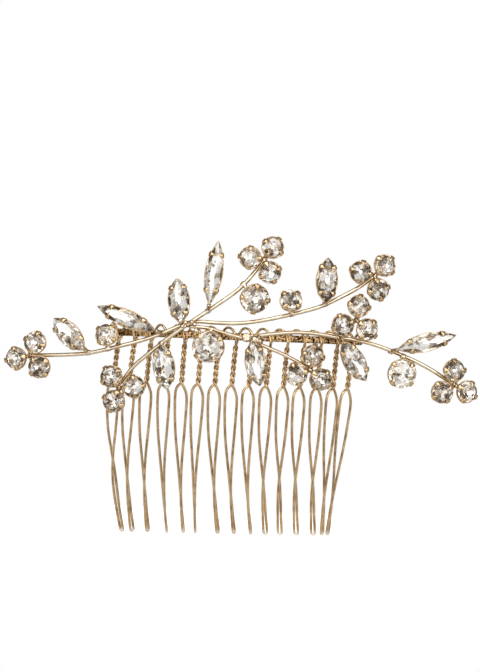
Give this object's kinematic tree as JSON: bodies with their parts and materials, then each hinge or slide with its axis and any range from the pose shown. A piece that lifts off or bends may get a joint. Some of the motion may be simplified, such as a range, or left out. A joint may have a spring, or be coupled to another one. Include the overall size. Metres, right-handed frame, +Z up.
{
  "type": "decorative hair comb",
  "caption": "Twisted-wire hair comb with a curved spine strip and a soldered spray of wire stems carrying claw-set round and leaf-shaped crystals.",
  "frame": {"origin": "middle of the spine strip, where the comb is pushed into the hair up to the strip", "axes": "+X along the spine to the viewer's right, +Z up, teeth point to -Z, the crystals face -Y, away from the head"},
  "size_m": [0.112, 0.022, 0.0713],
  "materials": {
    "gold_wire": "pale gold plate, drawn wire",
    "gold_spine": "pale gold plate, satin, darker in the recesses",
    "gold_stem": "pale gold plate, bright polished",
    "gold_cup": "pale gold plate, bright stamped cups",
    "gold_solder": "plated solder, slightly uneven",
    "crystal": "clear cut crystal with a foiled back"
  },
  "bodies": {
    "root": {"spine_strip": "gold_spine", "tooth_01": "gold_wire", "tooth_02": "gold_wire", "tooth_03": "gold_wire", "tooth_04": "gold_wire", "tooth_05": "gold_wire", "tooth_06": "gold_wire", "tooth_07": "gold_wire", "tooth_08": "gold_wire", "tooth_09": "gold_wire", "tooth_10": "gold_wire", "tooth_11": "gold_wire", "tooth_12": "gold_wire", "tooth_13": "gold_wire", "tooth_14": "gold_wire", "tooth_15": "gold_wire", "stem_left": "gold_stem", "stem_rising": "gold_stem", "stem_upper_right": "gold_stem", "stem_lower_right": "gold_stem", "stem_right": "gold_stem", "solder_joints": "gold_solder", "leaf_left_tip_setting": "gold_cup", "leaf_left_long_setting": "gold_cup", "leaf_lower_left_setting": "gold_cup", "leaf_junction_setting": "gold_cup", "leaf_top_long_setting": "gold_cup", "leaf_upper_right_setting": "gold_cup", "leaf_middle_setting": "gold_cup", "leaf_right_low_setting": "gold_cup", "leaf_right_long_setting": "gold_cup", "bud_left_setting": "gold_cup", "bud_high_setting": "gold_cup", "bud_upper_right_setting": "gold_cup", "bud_low_middle_setting": "gold_cup", "bud_right_low_setting": "gold_cup", "leaf_left_tip_crystal": "crystal", "leaf_left_long_crystal": "crystal", "leaf_lower_left_crystal": "crystal", "leaf_junction_crystal": "crystal", "leaf_top_long_crystal": "crystal", "leaf_upper_right_crystal": "crystal", "leaf_middle_crystal": "crystal", "leaf_right_low_crystal": "crystal", "leaf_right_long_crystal": "crystal", "bud_crystals": "crystal", "cluster_left_settings": "gold_cup", "cluster_left_crystals": "crystal", "cluster_lower_left_settings": "gold_cup", "cluster_lower_left_crystals": "crystal", "cluster_top_settings": "gold_cup", "cluster_top_crystals": "crystal", "cluster_upper_right_settings": "gold_cup", "cluster_upper_right_crystals": "crystal", "cluster_mid_right_settings": "gold_cup", "cluster_mid_right_crystals": "crystal", "cluster_lower_right_settings": "gold_cup", "cluster_lower_right_crystals": "crystal", "cluster_right_settings": "gold_cup", "cluster_right_crystals": "crystal"}
  },
  "joints": []
}
